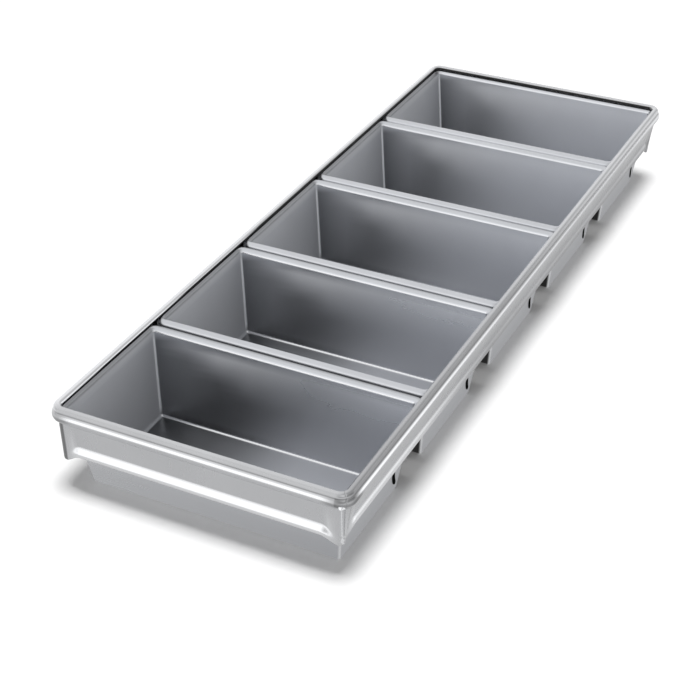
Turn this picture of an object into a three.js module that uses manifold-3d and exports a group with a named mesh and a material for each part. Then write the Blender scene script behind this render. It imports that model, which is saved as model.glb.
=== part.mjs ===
// Strapped bread pan: five tapered loaf pans side by side, held at their rims in one sheet-metal strap.
// Millimetres, +Z up. X runs along a loaf, Y along the strap, and the pans stand on z = 0.
import * as THREE from 'three';
import Module from 'manifold-3d';
import { mergeVertices } from 'three/addons/utils/BufferGeometryUtils.js';

const wasm = await Module();
wasm.setup();

// Pans
const PAN_COUNT = 5;
const PAN_GAP = 2.2; // air between neighbouring rims
const SHEET = 0.8; // thickness of all the sheet metal
const RIM_LENGTH = 236; // rolled rim's centre line, along the loaf
const RIM_WIDTH = 127.4; // rolled rim's centre line, across the loaf
const RIM_CORNER = 6.2; // plan radius of that line's corners
const RIM_HEIGHT = 69.7; // rolled rim's centre above the table
const RIM_RADIUS = 4.2; // outside radius of the roll
const RIM_OPEN_ANGLE = 42; // degrees left open between the roll's free edge and the wall
const FLOOR_LENGTH = 211; // outside of the walls where they reach the table
const FLOOR_WIDTH = 96;
const FLOOR_CORNER = 2.8; // plan radius there
const FLOOR_BEND = 2.8; // outside bend between floor and walls
const WIRE_CLEARANCE = 0.3; // air round the wire in the rim

// Strap, with places in its section measured from the centre of the rolled top edge
const TUBE_RADIUS = 3.3; // rolled top edge, outside
const TUBE_RISE = 4.8; // its centre above the pan rims' centre
const TUBE_SIDE_NEST = 2; // its centre outside the rims' centre line at the loaf's ends
const TUBE_END_NEST = 1.2; // the same at the strap's two short ends
const TUBE_LIP_ANGLE = 172; // degrees from outwards, over the top, to the roll's free edge
const RIDGE_CLEARANCE = 0.7; // air between the end pans' rims and the ridge round them
const RIDGE_IN = 1; // ridge's centre inside the tube's
const RIDGE_BELOW = 4.8; // and below it
const RIDGE_FOOT_ANGLE = -50; // degrees from outwards to where the ridge turns in to the ledge
const SEAT_CLEARANCE = 0.3; // pans' rims to the ledge under them
const LEDGE_REACH = 3.4; // folded ledge's inner edge inside the tube's centre
const FOLD_RADIUS = 0.6; // ledge's fold, at the middle of the sheet
const WALL_INSET = 0.3; // wall's inner face inside the tube's centre
const WALL_BEND = 1; // bend between the ledge and the wall
const RIGHT_LEAN = 6.4; // how far the wall's lower edge leans in on the +X side
const LEFT_LEAN = 0.2; // the same on the -X side
const END_LEAN = 0.85; // the same at the strap's two short ends
const STRAP_CORNER = 7.6; // plan radius at the tube's centre
const STRAP_DROP = 37.2; // tube's centre down to the strap's lower edge
const BEAD_HEIGHT = 9.3; // pressed bead along the lower edge
const BEAD_OUT = 3;
const BEAD_END = 0.64; // share of the bead's wave that is left above the lower edge
const BEAD_START = 3; // where the bead begins, along the strap from a corner's middle
const BEAD_FADE = 12.6; // and how far past the corner's bend it is whole
const BEAD_TAKE_UP = 8; // how much lower the edge hangs in the corners, where the bead dies out
const JOINT_GAP = 0.4; // slit between the strap's two ends
const WELD_LUMP = 2.2; // radius of the weld's lump under the ridge
const WELD_RUN = 0.8; // radius of the weld's run down the seam
const WELD_CLEARANCE = 0.3;

// How finely the round shapes are cut
const PLAN_STEPS = 4; // per corner of a pan
const STRAP_STEPS = 4; // per half corner of the strap
const FADE_STEPS = 3; // and on to where the bead is whole
const RIM_STEPS = 10; // round the outside of a rim
const WIRE_SIDES = 8;
const BEND_STEPS = 2;
const TUBE_STEPS = 7;
const RIDGE_STEPS = 4;
const BEAD_STEPS = 6;

// Sizes that follow
const PAN_PITCH = RIM_WIDTH + 2 * RIM_RADIUS + PAN_GAP;
const WIRE_RADIUS = RIM_RADIUS - SHEET - WIRE_CLEARANCE;
const TUBE_HEIGHT = RIM_HEIGHT + TUBE_RISE;
const TUBE_HALF_X = RIM_LENGTH / 2 + TUBE_SIDE_NEST;
const TUBE_HALF_Y = ((PAN_COUNT - 1) * PAN_PITCH + RIM_WIDTH) / 2 + TUBE_END_NEST;
const TUBE_MIDDLE = TUBE_RADIUS - SHEET / 2;
const RIDGE_MIDDLE = RIM_RADIUS + RIDGE_CLEARANCE + SHEET / 2;
const WALL_MIDDLE = SHEET / 2 - WALL_INSET;
const WALL_OUTSIDE = SHEET - WALL_INSET;
const LEDGE_MIDDLE = -TUBE_RISE - RIM_RADIUS - SEAT_CLEARANCE - SHEET / 2;

const radians = THREE.MathUtils.degToRad;

function metal(colour, roughness) {
  return new THREE.MeshStandardMaterial({ color: colour, roughness, metalness: 1 });
}

// Closed triangle mesh from vertices and triangles
function meshGeometry(points, triangles) {
  const geometry = new THREE.BufferGeometry();
  geometry.setAttribute('position', new THREE.Float32BufferAttribute(points.flatMap((p) => p.toArray()), 3));
  geometry.setIndex(triangles.flat());
  return geometry;
}

// Triangles between rows of equally many points, each row closed on itself
function bridgeRows(rows, width, joinLast) {
  const triangles = [];
  const spans = joinLast ? rows : rows - 1;
  for (let row = 0; row < spans; row += 1) {
    const next = (row + 1) % rows;
    for (let i = 0; i < width; i += 1) {
      const j = (i + 1) % width;
      const [a, b] = [row * width + i, row * width + j];
      const [c, d] = [next * width + j, next * width + i];
      triangles.push([a, b, c], [a, c, d]);
    }
  }
  return triangles;
}

// Anticlockwise ring of points round a rounded rectangle
function planRing(halfX, halfY, radius, z) {
  const points = [];
  for (let corner = 0; corner < 4; corner += 1) {
    const signX = corner === 0 || corner === 3 ? 1 : -1;
    const signY = corner < 2 ? 1 : -1;
    const centre = new THREE.Vector3(signX * (halfX - radius), signY * (halfY - radius), z);
    for (let step = 0; step <= PLAN_STEPS; step += 1) {
      const angle = (corner + step / PLAN_STEPS) * Math.PI / 2;
      const arm = new THREE.Vector3(Math.cos(angle), Math.sin(angle), 0).multiplyScalar(radius);
      points.push(centre.clone().add(arm));
    }
  }
  return points;
}

// Ring that follows the rim's centre line, moved out and up
function rimRing(out, up) {
  return planRing(RIM_LENGTH / 2 + out, RIM_WIDTH / 2 + out, RIM_CORNER + out, RIM_HEIGHT + up);
}

// Rings round the floor's bend, on the sheet's outside (inset 0) or inside (inset of one sheet)
function floorBendRings(inset) {
  const bend = FLOOR_BEND - inset;
  const rings = [];
  for (let step = 0; step <= BEND_STEPS; step += 1) {
    const angle = step / BEND_STEPS * Math.PI / 2;
    const inward = inset + bend * (1 - Math.sin(angle));
    const up = FLOOR_BEND - bend * Math.cos(angle);
    const corner = FLOOR_CORNER * (1 - inward / FLOOR_BEND / 2);
    rings.push(planRing(FLOOR_LENGTH / 2 - inward, FLOOR_WIDTH / 2 - inward, corner, up));
  }
  return rings;
}

// Rings round the rolled rim from the wall over the top to the free edge
function rimRollRings(radius) {
  const sweep = 2 * Math.PI - radians(RIM_OPEN_ANGLE);
  const rings = [];
  for (let step = 0; step <= RIM_STEPS; step += 1) {
    const angle = Math.PI - sweep * step / RIM_STEPS;
    rings.push(rimRing(radius * Math.cos(angle), radius * Math.sin(angle)));
  }
  return rings;
}

// One drawn pan: floor, walls and rolled rim in one sheet
function panShell() {
  const inside = [...floorBendRings(SHEET), ...rimRollRings(RIM_RADIUS)];
  const outside = [...floorBendRings(0), ...rimRollRings(RIM_RADIUS - SHEET)].reverse();
  const rings = [...inside, ...outside];
  const width = rings[0].length;
  const points = rings.flat();
  const triangles = bridgeRows(rings.length, width, false).map(([a, b, c]) => [a, c, b]);
  const floorTop = points.push(new THREE.Vector3(0, 0, SHEET)) - 1;
  const floorUnder = points.push(new THREE.Vector3(0, 0, 0)) - 1;
  const last = (rings.length - 1) * width;
  for (let i = 0; i < width; i += 1) {
    const j = (i + 1) % width;
    triangles.push([floorTop, i, j], [floorUnder, last + j, last + i]);
  }
  return meshGeometry(points, triangles);
}

// Wire that a pan's rim is rolled round
function rimWire() {
  const rings = [];
  for (let side = 0; side < WIRE_SIDES; side += 1) {
    const angle = 2 * Math.PI * (side + 0.5) / WIRE_SIDES;
    rings.push(rimRing(WIRE_RADIUS * Math.cos(angle), WIRE_RADIUS * Math.sin(angle)));
  }
  return meshGeometry(rings.flat(), bridgeRows(rings.length, rings[0].length, true));
}

// Points along an arc in section, from one angle to another in radians
function sectionArc(centre, radius, from, to, steps) {
  const points = [];
  for (let step = 0; step <= steps; step += 1) {
    const angle = THREE.MathUtils.lerp(from, to, step / steps);
    points.push(new THREE.Vector2(radius * Math.cos(angle), radius * Math.sin(angle)).add(centre));
  }
  return points;
}

// Middle of the strap's sheet in section: x outwards and y up from the tube's centre
function strapSection({ bead, lean }) {
  const ridge = new THREE.Vector2(-RIDGE_IN, -RIDGE_BELOW);
  const reach = ridge.length();
  const meet = (TUBE_MIDDLE ** 2 - RIDGE_MIDDLE ** 2 + reach ** 2) / (2 * reach);
  const side = Math.sqrt(TUBE_MIDDLE ** 2 - meet ** 2);
  const crease = new THREE.Vector2(meet * ridge.x - side * ridge.y, meet * ridge.y + side * ridge.x)
    .divideScalar(reach);
  const tubeEnd = crease.angle() - 2 * Math.PI;
  const ridgeStart = crease.clone().sub(ridge).angle();
  const foot = radians(RIDGE_FOOT_ANGLE);
  const points = [
    ...sectionArc(new THREE.Vector2(), TUBE_MIDDLE, radians(TUBE_LIP_ANGLE), tubeEnd, TUBE_STEPS),
    ...sectionArc(ridge, RIDGE_MIDDLE, ridgeStart, foot, RIDGE_STEPS).slice(1),
  ];
  const ridgeEnd = points[points.length - 1];
  points.push(new THREE.Vector2(ridgeEnd.x + (ridgeEnd.y - LEDGE_MIDDLE) * Math.tan(foot), LEDGE_MIDDLE));
  const foldX = FOLD_RADIUS + SHEET / 2 - LEDGE_REACH;
  const fold = new THREE.Path().absarc(foldX, LEDGE_MIDDLE - FOLD_RADIUS, FOLD_RADIUS, Math.PI / 2, -Math.PI / 2);
  points.push(...fold.getPoints(BEND_STEPS));
  const under = LEDGE_MIDDLE - 2 * FOLD_RADIUS;
  const bend = new THREE.QuadraticBezierCurve(
    new THREE.Vector2(WALL_MIDDLE - WALL_BEND, under),
    new THREE.Vector2(WALL_MIDDLE, under),
    new THREE.Vector2(WALL_MIDDLE, under - WALL_BEND),
  );
  points.push(...bend.getPoints(BEND_STEPS));
  const edge = STRAP_DROP + BEAD_TAKE_UP * (1 - bead);
  for (let step = 0; step <= BEAD_STEPS; step += 1) {
    const wave = BEAD_END * step / BEAD_STEPS;
    const out = bead * BEAD_OUT * Math.sin(Math.PI * wave) ** 2;
    const up = -edge + BEAD_HEIGHT * (1 - step / BEAD_STEPS);
    const leanHere = lean * (up - under) / (-edge - under);
    points.push(new THREE.Vector2(WALL_MIDDLE + out - leanHere, up));
  }
  return points;
}

// Closed outline of the sheet round that middle line
function sheetOutline(middle) {
  const left = [];
  const right = [];
  middle.forEach((point, i) => {
    const before = middle[Math.max(i - 1, 0)];
    const after = middle[Math.min(i + 1, middle.length - 1)];
    const inDirection = point.clone().sub(before).normalize();
    const outDirection = after.clone().sub(point).normalize();
    const along = inDirection.clone().add(outDirection).normalize();
    const straightness = Math.max(along.dot(inDirection), along.dot(outDirection));
    const normal = new THREE.Vector2(-along.y, along.x).multiplyScalar(SHEET / 2 / straightness);
    left.push(point.clone().add(normal));
    right.push(point.clone().sub(normal));
  });
  return [...left, ...right.reverse()];
}

// Place on the strap by its corner and the distance along from that corner's middle
function strapStation(corner, along) {
  const signX = corner === 0 || corner === 3 ? 1 : -1;
  const signY = corner < 2 ? 1 : -1;
  const halfArc = STRAP_CORNER * Math.PI / 4;
  const onArc = THREE.MathUtils.clamp(along, -halfArc, halfArc);
  const past = along - onArc;
  const angle = (corner + 0.5) * Math.PI / 2 + onArc / STRAP_CORNER;
  const out = new THREE.Vector2(Math.cos(angle), Math.sin(angle));
  const sideLean = signX > 0 ? RIGHT_LEAN : LEFT_LEAN;
  const [leanBefore, leanAfter] = corner % 2 === 0 ? [sideLean, END_LEAN] : [END_LEAN, sideLean];
  return {
    x: signX * (TUBE_HALF_X - STRAP_CORNER) + STRAP_CORNER * out.x - past * out.y,
    y: signY * (TUBE_HALF_Y - STRAP_CORNER) + STRAP_CORNER * out.y + past * out.x,
    out,
    bead: THREE.MathUtils.smoothstep(Math.abs(along), BEAD_START, halfArc + BEAD_FADE),
    lean: THREE.MathUtils.lerp(leanBefore, leanAfter, 0.5 + onArc / halfArc / 2),
  };
}

// Stations round the strap, anticlockwise from the joint to the joint again
function strapStations() {
  const halfArc = STRAP_CORNER * Math.PI / 4;
  const after = [];
  for (let step = 1; step <= STRAP_STEPS; step += 1) {
    after.push(halfArc * step / STRAP_STEPS);
  }
  for (let step = 1; step <= FADE_STEPS; step += 1) {
    after.push(halfArc + BEAD_FADE * step / FADE_STEPS);
  }
  const before = after.map((along) => -along).reverse();
  const joint = JOINT_GAP / 2;
  return [
    ...[joint, ...after].map((along) => strapStation(3, along)),
    ...[0, 1, 2].flatMap((corner) => [...before, 0, ...after].map((along) => strapStation(corner, along))),
    ...[...before, -joint].map((along) => strapStation(3, along)),
  ];
}

// The strap: one strip, rolled at the top, folded round the pans' rims and beaded along its lower edge
function strapBand() {
  const stations = strapStations();
  const rows = stations.map((station) => sheetOutline(strapSection(station)).map((p) => new THREE.Vector3(
    station.x + station.out.x * p.x,
    station.y + station.out.y * p.x,
    TUBE_HEIGHT + p.y,
  )));
  const width = rows[0].length;
  const triangles = bridgeRows(rows.length, width, false);
  const last = (rows.length - 1) * width;
  for (let i = 0; i < width / 2 - 1; i += 1) {
    const k = width - 1 - i;
    triangles.push([i + 1, i, k], [i + 1, k, k - 1]);
    triangles.push([last + i, last + i + 1, last + k], [last + i + 1, last + k - 1, last + k]);
  }
  return meshGeometry(rows.flat(), triangles);
}

function toManifold(geometry) {
  const bare = geometry.clone().deleteAttribute('normal').deleteAttribute('uv');
  const merged = mergeVertices(bare);
  return new wasm.Manifold(new wasm.Mesh({
    numProp: 3,
    vertProperties: Float32Array.from(merged.attributes.position.array),
    triVerts: Uint32Array.from(merged.index.array),
  }));
}

function fromManifold(solid) {
  const { vertProperties, triVerts } = solid.getMesh();
  const geometry = new THREE.BufferGeometry();
  geometry.setAttribute('position', new THREE.BufferAttribute(vertProperties, 3));
  geometry.setIndex(new THREE.BufferAttribute(triVerts, 1));
  return geometry;
}

// Weld at the strap's joint: a lump under the ridge and a run down the leaning seam
function cornerWeld() {
  const lumpOut = WALL_OUTSIDE + WELD_CLEARANCE + WELD_LUMP;
  const lumpUp = LEDGE_MIDDLE - SHEET / 2 - WELD_CLEARANCE - WELD_LUMP;
  const runOut = WALL_OUTSIDE + WELD_CLEARANCE + WELD_RUN;
  const runLow = WELD_LUMP - STRAP_DROP - BEAD_TAKE_UP;
  const lean = (RIGHT_LEAN + END_LEAN) / 2 * (lumpUp - runLow) / (STRAP_DROP + BEAD_TAKE_UP + lumpUp);
  const diagonal = new THREE.Vector2(Math.SQRT1_2, -Math.SQRT1_2);
  const place = (out, up) => new THREE.Vector3(
    TUBE_HALF_X - STRAP_CORNER + diagonal.x * (STRAP_CORNER + out),
    STRAP_CORNER - TUBE_HALF_Y + diagonal.y * (STRAP_CORNER + out),
    TUBE_HEIGHT + up,
  );
  const [top, bottom] = [place(runOut, lumpUp), place(runOut - lean, runLow)];
  const along = top.clone().sub(bottom);
  const turn = new THREE.Quaternion().setFromUnitVectors(new THREE.Vector3(0, 1, 0), along.clone().normalize());
  const run = new THREE.CapsuleGeometry(WELD_RUN, along.length(), 3, 8).applyQuaternion(turn);
  run.translate(...top.clone().add(bottom).divideScalar(2).toArray());
  const lump = new THREE.SphereGeometry(WELD_LUMP, 12, 8);
  lump.translate(...place(lumpOut, lumpUp).toArray());
  return fromManifold(toManifold(lump).add(toManifold(run)));
}

const group = new THREE.Group();
group.name = 'strapped_bread_pan';

function addPart(name, geometry, material, y = 0) {
  geometry.computeVertexNormals();
  const mesh = new THREE.Mesh(geometry, material);
  mesh.name = name;
  mesh.position.y = y;
  group.add(mesh);
}

for (let pan = 1; pan <= PAN_COUNT; pan += 1) {
  const y = (pan - (PAN_COUNT + 1) / 2) * PAN_PITCH;
  addPart(`pan_${pan}_shell`, panShell(), metal(0xb4b6b8, 0.35), y);
  addPart(`pan_${pan}_rim_wire`, rimWire(), metal(0x8c8e90, 0.4), y);
}
addPart('strap_band', strapBand(), metal(0xbcbec0, 0.32));
addPart('strap_corner_weld', cornerWeld(), metal(0xc4c5c6, 0.45));

export default group;
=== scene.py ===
"""Looks of the strapped bread pan: bare sheet-metal pans in one strap, on a white studio floor."""

import math
from collections import namedtuple

import bpy
import numpy as np
from mathutils import Matrix, Vector


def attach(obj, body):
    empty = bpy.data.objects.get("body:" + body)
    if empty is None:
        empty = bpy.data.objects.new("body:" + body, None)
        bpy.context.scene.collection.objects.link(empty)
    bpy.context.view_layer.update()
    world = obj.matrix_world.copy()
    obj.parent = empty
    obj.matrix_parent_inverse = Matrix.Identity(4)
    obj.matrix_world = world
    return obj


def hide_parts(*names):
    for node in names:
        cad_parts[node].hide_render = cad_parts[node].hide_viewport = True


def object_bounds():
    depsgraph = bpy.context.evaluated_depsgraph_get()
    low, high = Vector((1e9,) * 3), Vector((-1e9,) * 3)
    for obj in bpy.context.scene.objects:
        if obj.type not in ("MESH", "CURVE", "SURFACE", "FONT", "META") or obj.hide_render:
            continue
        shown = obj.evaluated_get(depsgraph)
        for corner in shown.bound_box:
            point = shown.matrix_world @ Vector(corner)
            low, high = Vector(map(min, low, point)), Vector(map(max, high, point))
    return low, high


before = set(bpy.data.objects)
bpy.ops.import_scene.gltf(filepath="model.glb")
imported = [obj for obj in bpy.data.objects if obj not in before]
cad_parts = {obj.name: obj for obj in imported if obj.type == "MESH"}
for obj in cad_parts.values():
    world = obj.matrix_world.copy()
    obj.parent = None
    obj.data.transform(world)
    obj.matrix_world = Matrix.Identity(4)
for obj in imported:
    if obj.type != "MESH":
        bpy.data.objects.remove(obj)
cad_low, cad_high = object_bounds()
MM = 0.001

# Place on the strap: its outward direction c, s, how full the bead is there, and how far the wall leans in
Station = namedtuple("Station", "x y c s bead lean")

# Bright panel of the room: its direction, the cosines where it begins and is full, and its added brightness
Panel = namedtuple("Panel", "toward begins full light")

# Signs of x and y at the four corners, anticlockwise from the back right one, and the corner with the joint
CORNERS = ((1, 1), (-1, 1), (-1, -1), (1, -1))
JOINT_CORNER = 3

# Pans, in millimetres, as in the solids
PAN_COUNT = 5
PAN_GAP = 2.2
SHEET = 0.8
RIM_LENGTH = 236.0
RIM_WIDTH = 127.4
RIM_CORNER = 6.2
RIM_HEIGHT = 69.7
RIM_RADIUS = 4.2
RIM_OPEN_ANGLE = 42.0
FLOOR_LENGTH = 211.0
FLOOR_WIDTH = 96.0
FLOOR_CORNER = 2.8
FLOOR_BEND = 2.8
PAN_PITCH = RIM_WIDTH + 2 * RIM_RADIUS + PAN_GAP

# Strap, measured from the centre of its rolled top edge
TUBE_RADIUS = 3.3
TUBE_RISE = 4.8
TUBE_SIDE_NEST = 2.0
TUBE_END_NEST = 1.2
TUBE_LIP_ANGLE = 172.0
RIDGE_CLEARANCE = 0.7
RIDGE_IN = 1.0
RIDGE_BELOW = 4.8
RIDGE_FOOT_ANGLE = -50.0
SEAT_CLEARANCE = 0.3
LEDGE_REACH = 3.4
LEDGE_BEND = 1.0
FOLD_RADIUS = 0.6
WALL_INSET = 0.3
WALL_BEND = 1.0
RIGHT_LEAN = 6.4
LEFT_LEAN = 0.2
END_LEAN = 0.85
STRAP_CORNER = 7.6
STRAP_DROP = 37.2
BEAD_HEIGHT = 9.3
BEAD_OUT = 3.0
BEAD_END = 0.64
BEAD_START = 3.0
BEAD_FADE = 12.6
BEAD_TAKE_UP = 8.0
JOINT_GAP = 0.06
TUBE_HEIGHT = RIM_HEIGHT + TUBE_RISE
TUBE_HALF_X = RIM_LENGTH / 2 + TUBE_SIDE_NEST
TUBE_HALF_Y = ((PAN_COUNT - 1) * PAN_PITCH + RIM_WIDTH) / 2 + TUBE_END_NEST
TUBE_MIDDLE = TUBE_RADIUS - SHEET / 2
RIDGE_MIDDLE = RIM_RADIUS + RIDGE_CLEARANCE + SHEET / 2
WALL_MIDDLE = SHEET / 2 - WALL_INSET
WALL_OUTSIDE = SHEET - WALL_INSET
LEDGE_MIDDLE = -TUBE_RISE - RIM_RADIUS - SEAT_CLEARANCE - SHEET / 2
UNDER_FOLD = LEDGE_MIDDLE - 2 * FOLD_RADIUS

# Weld at the joint: radii of its lump, run and foot, and its place
WELD_LUMP = 2.6
WELD_RUN = 0.55
WELD_FOOT = 1.2
WELD_RISE = 4.5  # height of its top above the ledge
WELD_END = 1.0  # height of its lower end above the strap's edge
WELD_SHIFT = 2.4  # how far it lies to the front of the joint
WELD_ONTO_RIDGE = 1.3  # how soon its upper part steps out to the ridge
WELD_FLAT = 0.8  # how thick it is for its width
WELD_ROUGH = 0.12  # uneven surface: its height, lobes round the run and turns along it
WELD_LOBES = 3
WELD_TWIST = 40.0
LUMP_MIDDLE = 0.08  # places along the weld, from 0 at its top to 1 at its end
LUMP_HALF = 0.09
FOOT_MIDDLE = 0.92
FOOT_HALF = 0.07
RUN_TAPER = 0.04
RUN_WAVE = 0.2
RUN_TURNS = 90.0

# Dark strip of painted shade at each end wall's back corner: place across the pan, height and width
SHADE_STRIP_TOP = (35.0, 24.5)
SHADE_STRIP_LOW = (41.6, 6.8)
SHADE_STRIP_WIDTH = 5.0
SHADE_STRIP_SQUARE = 4  # how square its ends are
SHADE_STRIP_PROUD = 0.12

# How finely the shapes are cut
PLAN_STEPS = 14
LONG_STEPS = 8
RIM_STEPS = 40
BEND_STEPS = 8
WALL_STEPS = 12
SHADE_STRIP_STEPS = 8
TUBE_STEPS = 24
RIDGE_STEPS = 14
LEDGE_STEPS = 4
FOLD_STEPS = 8
WALL_BEND_STEPS = 6
BEAD_STEPS = 24
STRAP_STEPS = 10
FADE_STEPS = 6
SIDE_STEPS = 8
WELD_STEPS = 60
WELD_SIDES = 14
FLAT_WEIGHT = 80  # how much a large face counts in the smooth shading

# Metal
PAN_COLOUR = (0.68, 0.695, 0.728)
PAN_LOW_COLOUR = (0.572, 0.583, 0.61)  # of the pans at their floors
STRAP_COLOUR = (0.668, 0.675, 0.692)
WIRE_COLOUR = (0.4, 0.4, 0.41)
# near-black colour mixed in as painted shade
PAINTED_SHADE_COLOUR = (0.03, 0.03, 0.03)
# near-white colour mixed in as painted highlight
HIGHLIGHT_COLOUR = (0.94, 0.95, 0.97)
PAN_ROUGHNESS = 0.31
STRAP_ROUGHNESS = 0.28
WIRE_ROUGHNESS = 0.4
POLISHED_ROUGHNESS = 0.2
MATTE_ROUGHNESS = 0.8  # of the left end walls and the scuffed back walls
PAN_MARKS = (0.15, 1, 1)  # drawing marks: small along the axis that they follow
STRAP_MARKS = (1, 1, 0.2)
WIRE_MARKS = (1, 1, 1)
MARK_SCALE = 260
MARK_DETAIL = 3
MARK_ROUGHNESS = 0.01  # how far they change the roughness either way
BLOTCH_SCALE = 18  # cloudy tone, and the colour's factors at its palest and darkest
BLOTCH_DETAIL = 4
BLOTCH_PALE = 1.03
BLOTCH_DARK = 0.95
NOISE_LOW = 0.3  # range of the noise that is used
NOISE_HIGH = 0.7
WAVE_SCALE = 9  # slight waves of the sheet, and their depth in metres
WAVE_DETAIL = 1
WAVE_STRENGTH = 0.05
WAVE_DEPTH = 0.0012
# near-black tone of the strips of painted shade
SHADE_STRIP_TONE = 0.01
DUST_SCALE = 300
# painted highlight and polish all over the weld
WELD_HIGHLIGHT = 0.9

# Painted highlights, painted shade and matte parts of the pans' rims, by the angle over the roll from its
# inner side, in degrees
RIM_LINE = 0.85  # painted highlight: a bright line inside each rim, and how much of it is lost by the last pan
RIM_LINE_LOSS = 0.7
RIM_LINE_ANGLE = 24.0
RIM_LINE_HALF = 3.0
RIM_LINE_FADE = 6.0
RIM_TOP_ANGLE = 7.2  # painted shade on the top of the left ends
RIM_TOP_FADE = 24.0
RIM_END_SHADE = 0.4
RIM_OUTER_ANGLE = 72.0  # painted shade on the outer half of the left ends and the back
RIM_OUTER_FADE = 48.0
RIM_BACK_SHADE = 0.75
RIM_MATTE_ANGLE = 36.0  # how far over the left ends are matte

# Painted highlights, painted shade and matte parts inside the pans: heights from 0 at the wall's foot to 1
# at the rim, lengths from -1 left to 1 right
END_HIGHLIGHT = 0.5  # painted highlight on the front part of the left end walls
LEFT_CORNER = 0.4  # length over which the long walls' painted highlight begins, with painted shade in its stead
LEFT_CORNER_SHADE = 0.55
WALL_HIGHLIGHT = 1.0  # painted highlight on the upper part of the near pans' long walls, shallower at the left
WALL_HIGHLIGHT_FROM = 0.45
WALL_HIGHLIGHT_RUN = 0.7
WALL_HIGHLIGHT_LEAST = 0.1
WALL_HIGHLIGHT_CURVE = 1.5
FAR_PAN_HIGHLIGHT = 0.24  # painted highlight all over the far pans' long walls, and how much of it is lost at the rim
FAR_PAN_LOSS = 0.6
FLOOR_SHADE = 0.65  # painted shade on the left half of the floors and back walls, and its loss by the last pan
WALL_SHADE = 0.4
SHADE_TO = 0.15
SHADE_FADE = 0.55
SHADE_LOSS = 0.7
UPPER_SCUFF = 0.62  # scuffed left half of the back walls' upper part
SCUFF_TO = 0.3
SCUFF_FADE = 0.8
BEND_HIGHLIGHT = 0.8  # painted highlight on the bend between the floor and the back wall
BEND_MIDDLE = -0.5
BEND_HALF = 0.3
CORNER_HIGHLIGHT = 1.0  # painted highlight on the upright corner at the back wall's left end

# Painted highlights and painted shade outside the pans
FRONT_HIGHLIGHT = 0.35  # painted highlight on the left part of the first pan's front
EDGE_HIGHLIGHT = 0.9  # painted highlight on the front right corner of each pan
EDGE_CURVE = 3
GAP_SHADE = 1.0  # painted shade on the walls between neighbours, and the sines of the ways they face
GAP_FRONT = -0.75
GAP_BACK = 0.2

# Polish and painted highlights on the strap, with places from 0 in front to 1 at the back
SHOULDER_ANGLE = 18.0  # where the ridge's shoulder is, in degrees from outwards, in front and on the sides
SIDE_SHOULDER_ANGLE = 26.0
SHOULDER_SPREAD = 9.0
RIDGE_HIGHLIGHT = 0.9  # the shoulder's painted highlight in front, at the left and back, and its fade on the right
RIDGE_HIGHLIGHT_REST = 0.5
RIDGE_HIGHLIGHT_FADE = 1.4
BEAD_HIGHLIGHT = 0.85  # the lower bead's in the same way, and where up the wall it begins
BEAD_HIGHLIGHT_REST = 0.4
BEAD_HIGHLIGHT_RUN = 0.35
BEAD_HIGHLIGHT_DOWN = 1.0
BEAD_HIGHLIGHT_FADE = 1.5
TUBE_HIGHLIGHT_LEFT = 0.9  # the tube's on each side, where it begins on the right, and how far down it goes
TUBE_HIGHLIGHT_BACK = 0.1
TUBE_HIGHLIGHT_RIGHT = 0.4
TUBE_HIGHLIGHT_FROM = 0.4
TUBE_HIGHLIGHT_RUN = 0.4
TUBE_HIGHLIGHT_DOWN = 2.0
CRUMPLE_HIGHLIGHT = 0.7  # uneven painted highlight on the front right corner, and its waves up and round the corner
CRUMPLE_UP = 2.0
CRUMPLE_ROUND = 12.0

# Painted shade on the strap, with heights above the tube's centre
FLANK_UP = 0.6  # flank of the tube in front
FLANK_HALF = 1.6
FLANK_SHADE = 0.3
CREASE_UP = 0.2  # the same on the right side
CREASE_HALF = 1.8
CREASE_SHADE = 0.58
TOP_SHADE = 0.25  # top of the tube on the right side's front part
TOP_RUN = 0.5
LIP_UP = 1.2  # inner flank of the tube, and how much higher it reaches farther back
LIP_RISE = 1.2
LIP_RUN = 0.5
FOLD_HALF = 0.6  # fold above the wall
FOLD_SHADE = 0.4
SHADE_EDGE = 2.0  # height over which the painted shade on the wall begins
BEAD_SHADE = 0.3  # bead on the right side, from the front on
BEAD_SHADE_RUN = 0.3
FRONT_CORNER_SHADE = 0.7  # wall at the front left corner, and how much bend counts as the corner
CORNER_BENT = 0.005
RIDGE_SHADE = 0.65  # ridge at the front right and front left corners, and how much is lost at their middles
LEFT_RIDGE_SHADE = 0.4
RIDGE_SHADE_LOSS = 0.4
RIDGE_SHADE_UP = -3.2
RIDGE_SHADE_HALF = 3.2

# Studio
ROOM_LEFT = 0.88  # brightness of the room's mirror image on either side, and the cosines between them
ROOM_RIGHT = 0.5
ROOM_LEFT_END = -0.3
ROOM_RIGHT_END = 0.4
FRONT_PANEL = Panel(toward=(-0.4, -0.85, 0.3), begins=0.76, full=0.97, light=0.3)
RIGHT_PANEL = Panel(toward=(0.63, 0.77, 0.08), begins=0.91, full=0.98, light=0.6)
CORNER_PANEL = Panel(toward=(0.52, -0.57, 0.62), begins=0.9, full=0.97, light=0.65)
FILL_LIGHT = 0.3
KEY_LIGHT = 2.6
KEY_FROM = (0.055, -0.045, 1.0)
KEY_ANGLE = 19.0
FLOOR_SIZE = 30  # half the floor's width, in metres
FLOOR_WHITE = 0.9
FLOOR_GLOW = 0.08
MIRROR_WHITE = 0.13  # floor as the metal mirrors it, and its glow near the strap and away from it
MIRROR_GLOW = 0.52
MIRROR_GLOW_FAR = 1.0
NEAR_FLOOR = 90.0
FAR_FLOOR = 170.0

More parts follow.
